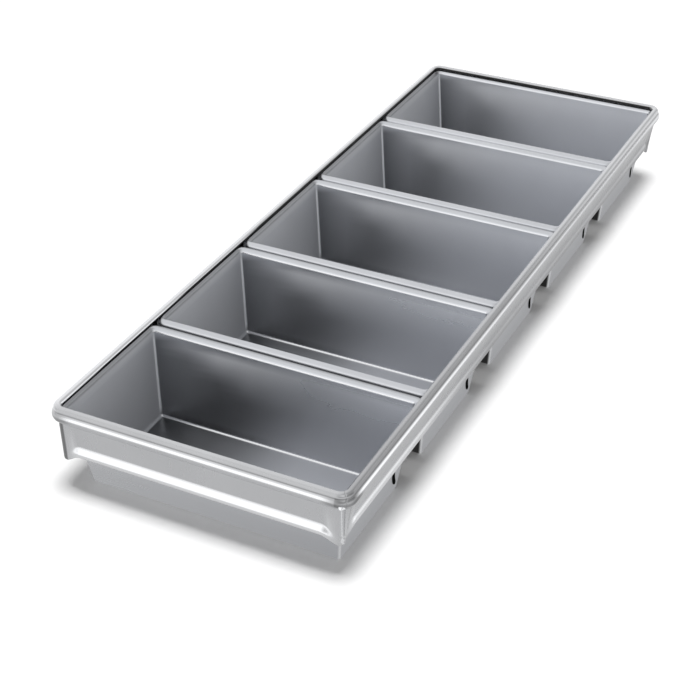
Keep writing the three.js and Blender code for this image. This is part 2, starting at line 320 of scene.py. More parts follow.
# Camera, fitted to the photograph
CAMERA_AZIMUTH = 27.149
CAMERA_ELEVATION = 33.425
CAMERA_ROLL = -0.785
CAMERA_DISTANCE = 1359.82
CAMERA_TARGET = (-8.892, -80.942, 3.0)
CAMERA_CLIP = (0.01, 100)
FOCAL_PIXELS = 1599.81
PHOTO_PIXELS = 700
SENSOR = 36.0


# Mesh helpers
def make_object(name, points, faces, material, slot, **shares):
    """New piece from points in millimetres, with its shares of polish and painted highlight, painted shade
    and matte as attributes of the points.
    """
    mesh = bpy.data.meshes.new(name)
    mesh.from_pydata([tuple(p * MM) for p in points], [], faces)
    mesh.polygons.foreach_set("use_smooth", [True] * len(mesh.polygons))
    mesh.materials.append(material)
    for share, values in shares.items():
        mesh.attributes.new(share, "FLOAT", "POINT").data.foreach_set("value", values)
    mesh.update()
    piece = bpy.data.objects.new(name, mesh)
    bpy.context.scene.collection.objects.link(piece)
    shading = piece.modifiers.new("flat_faces_stay_flat", "WEIGHTED_NORMAL")
    shading.weight = FLAT_WEIGHT
    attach(piece, "root")
    return piece


def bridge_rows(rows, width, flip=False):
    """Quads between neighbouring rows of points, each row closed on itself."""
    faces = []
    for row in range(rows - 1):
        for i in range(width):
            j = (i + 1) % width
            quad = [row * width + i, row * width + j, (row + 1) * width + j, (row + 1) * width + i]
            faces.append(quad[::-1] if flip else quad)
    return faces


def corner_angles(corner):
    return [(corner + step / PLAN_STEPS) * math.pi / 2 for step in range(PLAN_STEPS + 1)]


def long_shares(sx):
    """Places of the extra points on a long side, from its end at sx to the other end."""
    return sx * np.linspace(1, -1, LONG_STEPS + 1)[1:-1]


def plan_ring(half_x, half_y, radius, z):
    """Anticlockwise ring of points round a rounded rectangle, with extra points along its long sides."""
    points = []
    for corner, (sx, sy) in enumerate(CORNERS):
        for angle in corner_angles(corner):
            x = sx * (half_x - radius) + radius * math.cos(angle)
            y = sy * (half_y - radius) + radius * math.sin(angle)
            points.append((x, y, z))
        if corner % 2 == 0:
            points += [((half_x - radius) * share, sy * half_y, z) for share in long_shares(sx)]
    return np.array(points)


def ring_columns():
    """For each point of a ring: the way it faces, its place along the loaf, and its side, front or back."""
    turn, along, side = [], [], []
    for corner, (sx, sy) in enumerate(CORNERS):
        turn += corner_angles(corner)
        along += [sx] * (PLAN_STEPS + 1)
        if corner % 2 == 0:
            turn += [(corner + 1) * math.pi / 2] * (LONG_STEPS - 1)
            along += list(long_shares(sx))
        side += [sy] * (len(turn) - len(side))
    return np.array(turn), np.array(along), np.array(side)


def near(values, middle, half):
    """Soft band: 1 within half of the middle, fading to 0 at one and a half times that."""
    return np.clip(3 - 2 * np.abs(values - middle) / half, 0, 1)


# Pans
def rim_ring(out, up):
    return plan_ring(RIM_LENGTH / 2 + out, RIM_WIDTH / 2 + out, RIM_CORNER + out, RIM_HEIGHT + up)


def floor_bend_rings(inset):
    """Rings round the bend between the floor and the walls, on the outside or inset to the inside."""
    bend = FLOOR_BEND - inset
    rings = []
    for step in range(BEND_STEPS + 1):
        angle = step / BEND_STEPS * math.pi / 2
        inward = inset + bend * (1 - math.sin(angle))
        up = FLOOR_BEND - bend * math.cos(angle)
        corner = FLOOR_CORNER * (1 - inward / FLOOR_BEND / 2)
        rings.append(plan_ring(FLOOR_LENGTH / 2 - inward, FLOOR_WIDTH / 2 - inward, corner, up))
    return rings


def rim_roll_rings(radius):
    """Rings over the rolled rim, from its inner side outwards and under."""
    sweep = 2 * math.pi - math.radians(RIM_OPEN_ANGLE)
    angles = [math.pi - sweep * step / RIM_STEPS for step in range(RIM_STEPS + 1)]
    return [rim_ring(radius * math.cos(a), radius * math.sin(a)) for a in angles]


def wall_shares():
    """Heights of the rings between the floor's bend and the rim, as shares of the straight wall."""
    return np.arange(1, WALL_STEPS) / WALL_STEPS


def rim_light_and_matte(turn, side, number):
    """Painted highlight along the line where each rim turns down into the pan, and painted shade on its left
    end and its back.
    """
    angle = np.linspace(0, 360 - RIM_OPEN_ANGLE, RIM_STEPS + 1)[:, None]
    farther = (number - 1) / (PAN_COUNT - 1)
    left_end = np.clip(-np.cos(turn), 0, 1) ** 2
    line = np.clip(1 + (RIM_LINE_HALF - np.abs(angle - RIM_LINE_ANGLE)) / RIM_LINE_FADE, 0, 1)
    line = line * (1 - left_end) * RIM_LINE * (1 - RIM_LINE_LOSS * farther)
    top = np.clip((angle - RIM_TOP_ANGLE) / RIM_TOP_FADE, 0, 1)
    outer = np.clip((angle - RIM_OUTER_ANGLE) / RIM_OUTER_FADE, 0, 1)
    back = np.sin(turn) ** 2 * (side > 0) * outer * RIM_BACK_SHADE * (1 - farther)
    painted_shade = np.maximum(left_end * top * np.maximum(RIM_END_SHADE, outer), back)
    return line + (1 - top) * left_end * END_HIGHLIGHT, painted_shade, left_end * (angle < RIM_MATTE_ANGLE)


def inside_light_and_matte(turn, along, side, up_wall, number):
    """Painted highlight, painted shade and scuffed matte shares of a pan's inside, for rows from the floor
    up.
    """
    up, back = up_wall[:, None], side > 0
    farther = (number - 1) / (PAN_COUNT - 1)
    long_side, left_end = np.sin(turn) ** 2, np.clip(-np.cos(turn), 0, 1) ** 2
    back_left = np.clip(-2 * np.cos(turn) * np.sin(turn), 0, 1) ** 2 * back
    from_left = np.clip((along + 1) / LEFT_CORNER, 0, 1) * long_side
    reach = (1 - WALL_HIGHLIGHT_FROM) * np.clip((along + 1) / WALL_HIGHLIGHT_RUN, WALL_HIGHLIGHT_LEAST, 1)
    high = np.clip((up - 1) / reach + 1, 0, 1)
    upper = high ** WALL_HIGHLIGHT_CURVE * WALL_HIGHLIGHT * (1 - farther) ** 2
    all_over = (up > 0) * (1 - FAR_PAN_LOSS * high) * farther * FAR_PAN_HIGHLIGHT
    polish_and_highlight = left_end * (side < 0) * END_HIGHLIGHT + from_left * (upper + all_over)
    polish_and_highlight = polish_and_highlight + near(up, BEND_MIDDLE, BEND_HALF) * back * long_side * BEND_HIGHLIGHT
    polish_and_highlight = polish_and_highlight + back_left * (up > 0) * CORNER_HIGHLIGHT
    # painted shade towards the left of the floors and back walls
    left_shade = np.clip((SHADE_TO - along) / SHADE_FADE, 0, 1) * long_side * (1 - SHADE_LOSS * farther)
    painted_shade = left_shade * np.where(up > 0, WALL_SHADE * (1 - high) ** 2 * back, FLOOR_SHADE)
    painted_shade = np.maximum(painted_shade, (long_side - from_left) * LEFT_CORNER_SHADE)
    scuffed = high * from_left * back * np.clip((SCUFF_TO - along) / SCUFF_FADE, 0, 1) * UPPER_SCUFF
    return np.clip(polish_and_highlight, 0, 1), painted_shade, left_end + scuffed


def outside_light_and_matte(turn, along, side, number):
    """Painted highlight on the front of the first pan and the front corner of each, and painted shade on the
    walls between neighbours.
    """
    edge = np.clip(-2 * np.cos(turn) * np.sin(turn), 0, 1) ** EDGE_CURVE * (along > 0)
    front = np.sin(turn) ** 2 * (side < 0) * (1 - along) / 2 * (number == 1)
    polish_and_highlight = np.maximum(front * FRONT_HIGHLIGHT, edge * EDGE_HIGHLIGHT)
    in_gap = (np.sin(turn) < GAP_FRONT) * (number > 1) + (np.sin(turn) > GAP_BACK) * (number < PAN_COUNT)
    return polish_and_highlight, in_gap * GAP_SHADE, 0 * turn


def pan_light_and_matte(number, bend_rows, outside_rows):
    """Painted highlight, painted shade and scuffed matte shares of a pan's points, in the order of its
    rings.
    """
    turn, along, side = ring_columns()
    up_wall = np.concatenate((np.linspace(-1, 0, bend_rows), wall_shares()))
    inner = inside_light_and_matte(turn, along, side, up_wall, number)
    rolled = rim_light_and_matte(turn, side, number)
    outer = [np.tile(share, (outside_rows, 1)) for share in outside_light_and_matte(turn, along, side, number)]
    return [np.concatenate(rows).ravel() for rows in zip(inner, rolled, outer)]


def pan_faces(rows, width):
    """Faces between a pan's rings, and across the upper and lower sides of its floor."""
    faces = bridge_rows(rows, width, flip=True)
    under = rows * width - 1
    for i in range(width // 2 - 1):
        faces.append([i, i + 1, width - 2 - i, width - 1 - i])
        faces.append([under - i, under - i - 1, under - width + 2 + i, under - width + 1 + i])
    return faces


def corner_shade_strips():
    """Strips of painted shade on the two end walls, low at the back corner."""
    points, faces = [], []
    slope = (RIM_LENGTH / 2 - RIM_RADIUS + SHEET - FLOOR_LENGTH / 2) / (RIM_HEIGHT - FLOOR_BEND)
    for sign in (1, -1):
        first = len(points)
        for step in range(SHADE_STRIP_STEPS + 1):
            share = step / SHADE_STRIP_STEPS
            z = SHADE_STRIP_TOP[1] + (SHADE_STRIP_LOW[1] - SHADE_STRIP_TOP[1]) * share
            y = SHADE_STRIP_TOP[0] + (SHADE_STRIP_LOW[0] - SHADE_STRIP_TOP[0]) * share ** 2
            half = SHADE_STRIP_WIDTH / 2 * math.sqrt(max(1 - (2 * share - 1) ** SHADE_STRIP_SQUARE, 0))
            x = sign * (FLOOR_LENGTH / 2 + slope * (z - FLOOR_BEND) + SHADE_STRIP_PROUD)
            points += [(x, y - sign * half, z), (x, y + sign * half, z)]
        faces += [[i, i + 2, i + 3, i + 1] for i in range(first, first + 2 * SHADE_STRIP_STEPS, 2)]
    return np.array(points), faces


def pan_shell(number, material, shade_strip_material):
    """One drawn pan: floor, walls and rolled rim in one sheet, with strips of painted shade at its back
    corners.
    """
    bend, rim = floor_bend_rings(SHEET), rim_roll_rings(RIM_RADIUS)
    walls = [bend[-1] + (rim[0] - bend[-1]) * share for share in wall_shares()]
    outside = floor_bend_rings(0) + rim_roll_rings(RIM_RADIUS - SHEET)
    rings = bend + walls + rim + outside[::-1]
    shade_strips, shade_strip_faces = corner_shade_strips()
    faces = pan_faces(len(rings), len(rings[0]))
    faces += [[len(rings) * len(rings[0]) + i for i in face] for face in shade_strip_faces]
    points = np.concatenate(rings + [shade_strips])
    points[:, 1] += (number - (PAN_COUNT + 1) / 2) * PAN_PITCH
    no_shares = np.zeros(len(shade_strips))
    light_and_matte_shares = pan_light_and_matte(number, len(bend), len(outside))
    polish_and_highlight, painted_shade, matte = (np.concatenate((values, no_shares)) for values in light_and_matte_shares)
    shares = {"polish_and_highlight": polish_and_highlight, "painted_shade": painted_shade, "matte": matte}
    piece = make_object(f"pan_{number}_sheet", points, faces, material, "pan_sheet", **shares)
    piece.data.materials.append(shade_strip_material)
    for polygon in piece.data.polygons[-len(shade_strip_faces):]:
        polygon.material_index = 1
    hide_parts(f"pan_{number}_shell")


def dress_rim_wire(number, material):
    """The solid wire inside a rim stays, with a better material."""
    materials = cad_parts[f"pan_{number}_rim_wire"].data.materials
    materials.clear()
    materials.append(material)


# Strap
def section_arc(centre, radius, start, end, steps):
    angles = np.linspace(start, end, steps + 1)
    return [np.array((centre[0] + radius * math.cos(a), centre[1] + radius * math.sin(a))) for a in angles]


def bend_curve(start, corner, end, steps):
    shares = np.linspace(0, 1, steps + 1)
    return [(1 - t) ** 2 * start + 2 * t * (1 - t) * corner + t * t * end for t in shares]


def tube_and_ridge():
    """Rolled edge, and the ridge below it, from the crease where the two meet."""
    ridge = np.array((-RIDGE_IN, -RIDGE_BELOW))
    reach = np.linalg.norm(ridge)
    meet = (TUBE_MIDDLE ** 2 - RIDGE_MIDDLE ** 2 + reach ** 2) / (2 * reach)
    side = math.sqrt(TUBE_MIDDLE ** 2 - meet ** 2)
    crease = np.array((meet * ridge[0] - side * ridge[1], meet * ridge[1] + side * ridge[0])) / reach
    tube_end = math.atan2(crease[1], crease[0])
    ridge_start = math.atan2(crease[1] - ridge[1], crease[0] - ridge[0])
    ridge_end = math.radians(RIDGE_FOOT_ANGLE)
    points = section_arc((0, 0), TUBE_MIDDLE, math.radians(TUBE_LIP_ANGLE), tube_end, TUBE_STEPS)
    return points + section_arc(ridge, RIDGE_MIDDLE, ridge_start, ridge_end, RIDGE_STEPS)[1:]


def folded_ledge(ridge_end):
    """Sheet turned in under the pans' rims, folded back, and bent down into the wall."""
    slope = math.tan(math.radians(RIDGE_FOOT_ANGLE))
    turn = np.array((ridge_end[0] + (ridge_end[1] - LEDGE_MIDDLE) * slope, LEDGE_MIDDLE))
    points = bend_curve(ridge_end, turn, turn - np.array((LEDGE_BEND, 0)), LEDGE_STEPS)[1:]
    fold = (FOLD_RADIUS + SHEET / 2 - LEDGE_REACH, LEDGE_MIDDLE - FOLD_RADIUS)
    points += section_arc(fold, FOLD_RADIUS, math.pi / 2, 1.5 * math.pi, FOLD_STEPS)
    top = np.array((WALL_MIDDLE, UNDER_FOLD))
    before, after = top - np.array((WALL_BEND, 0)), top - np.array((0, WALL_BEND))
    return points + bend_curve(before, top, after, WALL_BEND_STEPS)


def wall_and_bead(bead, lean):
    """Lower part of the leaning wall, with the bead as full as given."""
    points = []
    edge = STRAP_DROP + BEAD_TAKE_UP * (1 - bead)
    for share in np.linspace(0, 1, BEAD_STEPS + 1):
        out = bead * BEAD_OUT * math.sin(math.pi * BEAD_END * share) ** 2
        up = -edge + BEAD_HEIGHT * (1 - share)
        lean_here = lean * (up - UNDER_FOLD) / (-edge - UNDER_FOLD)
        points.append(np.array((WALL_MIDDLE + out - lean_here, up)))
    return points


def strap_section(bead, lean):
    """Middle of the strap's sheet in section: outwards and up from the tube's centre."""
    upper = tube_and_ridge()
    return upper + folded_ledge(upper[-1]) + wall_and_bead(bead, lean)


def sheet_outline(middle):
    """Closed outline of the sheet round its middle line."""
    middle = np.array(middle)
    steps = np.diff(middle, axis=0)
    steps /= np.linalg.norm(steps, axis=1)[:, None]
    before = np.vstack((steps[:1], steps))
    after = np.vstack((steps, steps[-1:]))
    along = before + after
    along /= np.linalg.norm(along, axis=1)[:, None]
    straight = np.sum(along * before, axis=1)
    normal = np.stack((-along[:, 1], along[:, 0]), axis=1) * (SHEET / 2 / straight)[:, None]
    return np.vstack((middle + normal, (middle - normal)[::-1]))


def strap_station(corner, along):
    """Place on the strap, by its corner and the distance along from that corner's middle."""
    sx, sy = CORNERS[corner]
    half_arc = STRAP_CORNER * math.pi / 4
    on_arc = min(max(along, -half_arc), half_arc)
    past = along - on_arc
    angle = (corner + 0.5) * math.pi / 2 + on_arc / STRAP_CORNER
    c, s = math.cos(angle), math.sin(angle)
    side_lean = RIGHT_LEAN if sx > 0 else LEFT_LEAN
    before, after = (side_lean, END_LEAN) if corner % 2 == 0 else (END_LEAN, side_lean)
    share = min(max((abs(along) - BEAD_START) / (half_arc + BEAD_FADE - BEAD_START), 0), 1)
    return Station(
        x=sx * (TUBE_HALF_X - STRAP_CORNER) + STRAP_CORNER * c - past * s,
        y=sy * (TUBE_HALF_Y - STRAP_CORNER) + STRAP_CORNER * s + past * c,
        c=c,
        s=s,
        bead=share * share * (3 - 2 * share),
        lean=before + (after - before) * (0.5 + on_arc / half_arc / 2),
    )


def strap_stations():
    """Stations round the strap, anticlockwise from the joint to the joint again."""
    half_arc = STRAP_CORNER * math.pi / 4
    faded = half_arc + BEAD_FADE
    beside = list(np.linspace(0, half_arc, STRAP_STEPS + 1)[1:])
    beside += list(np.linspace(half_arc, faded, FADE_STEPS + 1)[1:])
    straight_x, straight_y = TUBE_HALF_X - STRAP_CORNER, TUBE_HALF_Y - STRAP_CORNER
    stations = []
    for corner in (JOINT_CORNER, 0, 1, 2, JOINT_CORNER):
        straight = (straight_y, straight_x) if corner % 2 == 0 else (straight_x, straight_y)
        ends = [half_arc + length for length in straight]
        before, after = (list(np.linspace(faded, end, SIDE_STEPS + 1)[1:]) for end in ends)
        arriving = [strap_station(corner, -along) for along in (beside + before[:-1])[::-1]]
        leaving = [strap_station(corner, along) for along in beside + after]
        if corner != JOINT_CORNER:
            stations += arriving + [strap_station(corner, 0)] + leaving
        elif not stations:
            stations += [strap_station(corner, JOINT_GAP / 2)] + leaving
        else:
            stations += arriving + [strap_station(corner, -JOINT_GAP / 2)]
    return stations


def facing(station):
    """How far a station faces right, left, front and back, and its place, 0 in front and 1 at the back."""
    right, left = max(station.c, 0) ** 2, max(-station.c, 0) ** 2
    front, back = max(-station.s, 0) ** 2, max(station.s, 0) ** 2
    return right, left, front, back, (station.y + TUBE_HALF_Y) / (2 * TUBE_HALF_Y)


def corner_share(station):
    """1 at the middle of a corner, 0 on the straight sides."""
    return 4 * (station.c * station.s) ** 2


def ridge_shoulder(outline, station):
    """Band along the ridge, where it stands out most."""
    out, up = outline[:, 0] + RIDGE_IN, outline[:, 1] + RIDGE_BELOW
    angle = SHOULDER_ANGLE + (SIDE_SHOULDER_ANGLE - SHOULDER_ANGLE) * station.c ** 2
    on_ridge = np.hypot(out, up) < RIDGE_MIDDLE + SHEET
    return near(np.degrees(np.arctan2(up, out)), angle, SHOULDER_SPREAD) * on_ridge


def inner_lip(outline, from_front):
    """Inner flank of the tube, above the gap beside the pans' rims, which gets painted shade; it reaches
    higher farther back.
    """
    return (outline[:, 0] < 0) * (outline[:, 1] < LIP_UP + LIP_RISE * min(from_front / LIP_RUN, 1))


def crumple_highlight(up, station):
    """Uneven painted highlight on the lower front right corner."""
    waves = (1 + np.sin(CRUMPLE_UP * up + CRUMPLE_ROUND * station.c)) / 2
    return waves * corner_share(station) * (station.c > 0) * (station.s < 0) * CRUMPLE_HIGHLIGHT


def front_left_bend(station):
    """1 where the strap bends round the front left corner, 0 elsewhere."""
    bent = min((1 - max(abs(station.c), abs(station.s))) / CORNER_BENT, 1)
    return bent * (station.c < 0) * (station.s < 0)


def ridge_shade(station):
    """Painted shade of the ridge beside the middles of the two front corners."""
    strength = RIDGE_SHADE if station.c > 0 else LEFT_RIDGE_SHADE
    beside = (1 - station.bead ** 2) * (1 - RIDGE_SHADE_LOSS * corner_share(station))
    return strength * beside * (station.s < 0)


def section_highlight(outline, station):
    """How far the strap is polished and painted with highlights, on the ridge's shoulder, the lower bead and
    the tube.
    """
    right, left, front, back, from_front = facing(station)
    up = outline[:, 1]
    on_ridge = RIDGE_HIGHLIGHT * front + RIDGE_HIGHLIGHT_REST * (left + back)
    on_ridge = (on_ridge + right * max(1 - RIDGE_HIGHLIGHT_FADE * from_front, 0)) * station.bead
    on_bead = BEAD_HIGHLIGHT * front + BEAD_HIGHLIGHT_REST * (left + back)
    on_bead = on_bead + right * max(1 - (from_front / BEAD_HIGHLIGHT_RUN) ** 2, 0)
    on_bead = on_bead * station.bead + crumple_highlight(up, station) * (1 - station.bead)
    farther = min(max((from_front - TUBE_HIGHLIGHT_FROM) / TUBE_HIGHLIGHT_RUN, 0), 1)
    on_tube = TUBE_HIGHLIGHT_LEFT * left + TUBE_HIGHLIGHT_BACK * back + TUBE_HIGHLIGHT_RIGHT * right * farther
    low = np.clip((BEAD_HEIGHT - STRAP_DROP - BEAD_HIGHLIGHT_DOWN - up) / BEAD_HIGHLIGHT_FADE, 0, 1)
    high = np.clip(1 + up / TUBE_HIGHLIGHT_DOWN, 0, 1) * (1 - inner_lip(outline, from_front))
    return np.max((ridge_shoulder(outline, station) * on_ridge, low * on_bead, high * on_tube), axis=0)


def section_shade(outline, station):
    """How far the strap gets painted shade, on the tube, the fold above the wall, the bead and the front
    corners.
    """
    right, left, front, back, from_front = facing(station)
    out, up = outline[:, 0], outline[:, 1]
    flank = near(up, FLANK_UP, FLANK_HALF) * (out > 0) * front * FLANK_SHADE
    crease = near(up, CREASE_UP, CREASE_HALF) * (out > 0) * right * CREASE_SHADE
    top = np.clip(up, 0, 1) * right * max(1 - from_front / TOP_RUN, 0) * TOP_SHADE
    fold = near(up, UNDER_FOLD, FOLD_HALF) * FOLD_SHADE
    lip = inner_lip(outline, from_front) * (left + back)
    low = np.clip((BEAD_HEIGHT - STRAP_DROP - up) / SHADE_EDGE, 0, 1)
    bead = low * right * min(from_front / BEAD_SHADE_RUN, 1) * BEAD_SHADE
    wall = np.clip((LEDGE_MIDDLE - up) / SHADE_EDGE, 0, 1) * front_left_bend(station) * FRONT_CORNER_SHADE
    ridge = near(up, RIDGE_SHADE_UP, RIDGE_SHADE_HALF) * ridge_shade(station)
    return np.max((flank, crease, top, fold, lip, bead, wall, ridge), axis=0)


def strap_band(material):
    """The strap: its section carried round all the stations, and closed at the joint's two ends."""
    rows, polish_and_highlight, painted_shade = [], [], []
    for station in strap_stations():
        outline = sheet_outline(strap_section(station.bead, station.lean))
        polish_and_highlight.append(section_highlight(outline, station))
        painted_shade.append(section_shade(outline, station))
        x, y = station.x + station.c * outline[:, 0], station.y + station.s * outline[:, 0]
        rows.append(np.stack((x, y, TUBE_HEIGHT + outline[:, 1]), axis=1))
    width = len(rows[0])
    faces = bridge_rows(len(rows), width)
    last = (len(rows) - 1) * width
    for i in range(width // 2 - 1):
        k = width - 1 - i
        faces.append([i + 1, i, k, k - 1])
        faces.append([last + i, last + i + 1, last + k - 1, last + k])
    shares = {"polish_and_highlight": np.concatenate(polish_and_highlight), "painted_shade": np.concatenate(painted_shade)}
    piece = make_object("strap_sheet_band", np.concatenate(rows), faces, material, "strap_sheet", **shares)
    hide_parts("strap_band")


def dome(share, middle, half):
    """Round lump: 1 at its middle, 0 from half its length away."""
    return max(1 - ((share - middle) / half) ** 2, 0) ** 0.5


def weld_radius(share, turns):
    """Uneven radius of the weld: a lump near its top, a thin run and a smaller lump near its end."""
    lump = WELD_LUMP * dome(share, LUMP_MIDDLE, LUMP_HALF)
    foot = WELD_FOOT * dome(share, FOOT_MIDDLE, FOOT_HALF)
    run = WELD_RUN * (1 + RUN_WAVE * math.sin(RUN_TURNS * share)) * min((1 - share) / RUN_TAPER, 1)
    return max(lump, foot, run) * (1 + WELD_ROUGH * np.sin(WELD_LOBES * turns + WELD_TWIST * share))


def corner_weld(material):
    """Rough weld down the strap's joint, from under the ridge to the lower edge."""
    joint = strap_station(JOINT_CORNER, -WELD_SHIFT)
    top, edge = LEDGE_MIDDLE + WELD_RISE, STRAP_DROP + BEAD_TAKE_UP
    turns = np.linspace(0, 2 * math.pi, WELD_SIDES + 1)[:-1]
    rings = []
    for share in np.linspace(0, 1, WELD_STEPS + 1):
        up = top + (WELD_END - edge - top) * share
        radius = weld_radius(share, turns)
        onto_ridge = min(max(WELD_ONTO_RIDGE * (up - UNDER_FOLD) / WELD_RISE, 0), 1)
        middle = WALL_OUTSIDE + (RIDGE_MIDDLE - RIDGE_IN - WALL_OUTSIDE) * onto_ridge
        middle -= joint.lean * min(up - UNDER_FOLD, 0) / (-edge - UNDER_FOLD)
        out = middle + WELD_FLAT * radius * np.cos(turns)
        x = joint.x + joint.c * out - joint.s * radius * np.sin(turns)
        y = joint.y + joint.s * out + joint.c * radius * np.sin(turns)
        rings.append(np.stack((x, y, np.full(WELD_SIDES, TUBE_HEIGHT + up)), axis=1))
    faces = bridge_rows(len(rings), WELD_SIDES, flip=True)
    last = (len(rings) - 1) * WELD_SIDES
    faces.append(list(range(WELD_SIDES)))
    faces.append([last + WELD_SIDES - 1 - i for i in range(WELD_SIDES)])
    points = np.concatenate(rings)
    # the weld is polished and painted with a highlight all over
    shares = {"polish_and_highlight": np.full(len(points), WELD_HIGHLIGHT)}
    piece = make_object("corner_weld_run", points, faces, material, "weld", **shares)
    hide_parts("strap_corner_weld")


# Node helpers
def feed(tree, socket, value):
    """Link a socket to another node's output, or set it to a plain value."""
    if isinstance(value, bpy.types.NodeSocket):
        tree.links.new(value, socket)
    else:
        socket.default_value = value


def add_node(tree, kind, inputs):
    """New node, with its inputs by name or number."""
    node = tree.nodes.new(kind)
    for key, value in inputs.items():
        feed(tree, node.inputs[key], value)
    return node


def calculate(tree, kind, operation, *values):
    """Outputs of a math node for numbers or vectors."""
    node = tree.nodes.new(kind)
    node.operation = operation
    for socket, value in zip(node.inputs, values):
        feed(tree, socket, value)
    return node.outputs


def map_range(tree, value, start, end, low, high, curve="LINEAR"):
    inputs = {"Value": value, "From Min": start, "From Max": end, "To Min": low, "To Max": high}
    node = add_node(tree, "ShaderNodeMapRange", inputs)
    node.interpolation_type = curve
    return node.outputs["Result"]


def mix_number(tree, share, first, second):
    return add_node(tree, "ShaderNodeMix", {0: share, 2: first, 3: second}).outputs[0]


def mix_colour(tree, share, first, second):
    """Mix of two colours, each another node's output or three plain numbers."""
    node = tree.nodes.new("ShaderNodeMix")
    node.data_type = "RGBA"
    for key, value in ((0, share), (6, first), (7, second)):
        feed(tree, node.inputs[key], (*value, 1) if isinstance(value, tuple) else value)
    return node.outputs[2]


def mix_shader(tree, share, first, second):
    return add_node(tree, "ShaderNodeMixShader", {0: share, 1: first, 2: second}).outputs[0]


def noise(tree, place, scale, detail, stretch=(1, 1, 1)):
    mapping = add_node(tree, "ShaderNodeMapping", {"Vector": place, "Scale": stretch})
    inputs = {"Vector": mapping.outputs["Vector"], "Scale": scale, "Detail": detail}
    return add_node(tree, "ShaderNodeTexNoise", inputs).outputs["Fac"]


def mesh_share(tree, name):
    """Share of polish and painted highlight, painted shade or matte that the mesh carries; it is 0 where the
    mesh has none of that name.
    """
    node = tree.nodes.new("ShaderNodeAttribute")
    node.attribute_name = name
    return node.outputs["Fac"]


# Materials
def cloudy_tone(tree, place, colour):
    pale = tuple(min(c * BLOTCH_PALE, 1) for c in colour)
    dark = tuple(c * BLOTCH_DARK for c in colour)
    blotch = noise(tree, place, BLOTCH_SCALE, BLOTCH_DETAIL)
    return mix_colour(tree, map_range(tree, blotch, NOISE_LOW, NOISE_HIGH, 0, 1), dark, pale)


def darker_low(tree, place, tone, low_colour):
    split = add_node(tree, "ShaderNodeSeparateXYZ", {0: place})
    low = map_range(tree, split.outputs["Z"], 0, RIM_HEIGHT * MM, 1, 0)
    return mix_colour(tree, low, tone, low_colour)


def slight_waves(tree, place):
    height = noise(tree, place, WAVE_SCALE, WAVE_DETAIL)
    inputs = {"Height": height, "Strength": WAVE_STRENGTH, "Distance": WAVE_DEPTH}
    return add_node(tree, "ShaderNodeBump", inputs).outputs["Normal"]


def metal_material(name, colour, roughness, marks, low_colour=None):
    """Bare metal: cloudy, marked by drawing and slightly wavy, with polish and painted highlights, painted
    shade and matte parts as its mesh's shares say.
    """
    material = bpy.data.materials.new(name)
    material.use_nodes = True
    tree = material.node_tree
    place = tree.nodes.new("ShaderNodeTexCoord").outputs["Object"]
    # share that is both polished smoother and painted as a highlight
    polish_and_highlight_share = mesh_share(tree, "polish_and_highlight")
    tone = cloudy_tone(tree, place, colour)
    if low_colour is not None:
        tone = darker_low(tree, place, tone, low_colour)
    # painted shade: near-black mixed into the tone as the mesh's share says
    tone = mix_colour(tree, mesh_share(tree, "painted_shade"), tone, PAINTED_SHADE_COLOUR)
    # painted highlight: near-white mixed into the tone as the mesh's share says
    tone = mix_colour(tree, polish_and_highlight_share, tone, HIGHLIGHT_COLOUR)
    drawn = noise(tree, place, MARK_SCALE, MARK_DETAIL, marks)
    smooth, rough = roughness - MARK_ROUGHNESS, roughness + MARK_ROUGHNESS
    gloss = map_range(tree, drawn, NOISE_LOW, NOISE_HIGH, smooth, rough)
    gloss = mix_number(tree, polish_and_highlight_share, gloss, POLISHED_ROUGHNESS)
    gloss = mix_number(tree, mesh_share(tree, "matte"), gloss, MATTE_ROUGHNESS)
    shader = tree.nodes["Principled BSDF"]
    shader.inputs["Metallic"].default_value = 1.0
    tree.links.new(tone, shader.inputs["Base Color"])
    tree.links.new(gloss, shader.inputs["Roughness"])
    tree.links.new(slight_waves(tree, place), shader.inputs["Normal"])
    return material


def dark_material(name):
    """Near-black painted shade for the strips at the pans' back corners, with a little dust."""
    material = bpy.data.materials.new(name)
    material.use_nodes = True
    tree = material.node_tree
    dust = add_node(tree, "ShaderNodeTexNoise", {"Scale": DUST_SCALE}).outputs["Fac"]
    shader = tree.nodes["Principled BSDF"]
    shader.inputs["Roughness"].default_value = 1.0
    shader.inputs["Specular IOR Level"].default_value = 0.0
    tree.links.new(map_range(tree, dust, 0, 1, SHADE_STRIP_TONE / 2, SHADE_STRIP_TONE), shader.inputs["Base Color"])
    return material


def distance_from_object(tree):
    """Share from 0 beside the strap to 1 well away from it, for the floor."""
    place = tree.nodes.new("ShaderNodeTexCoord").outputs["Object"]
    size = calculate(tree, "ShaderNodeVectorMath", "ABSOLUTE", place)[0]
    past = calculate(tree, "ShaderNodeVectorMath", "SUBTRACT", size, cad_high)[0]
    split = add_node(tree, "ShaderNodeSeparateXYZ", {0: past}).outputs
    wider = calculate(tree, "ShaderNodeMath", "MAXIMUM", split["X"], split["Y"])[0]
    return map_range(tree, wider, NEAR_FLOOR * MM, FAR_FLOOR * MM, 0, 1, "SMOOTHSTEP")


def paper(tree, white, glow):
    """Matt white that also glows."""
    diffuse = add_node(tree, "ShaderNodeBsdfDiffuse", {"Color": (white, white, white, 1)}).outputs[0]
    emission = add_node(tree, "ShaderNodeEmission", {"Strength": glow}).outputs[0]
    return add_node(tree, "ShaderNodeAddShader", {0: diffuse, 1: emission}).outputs[0]


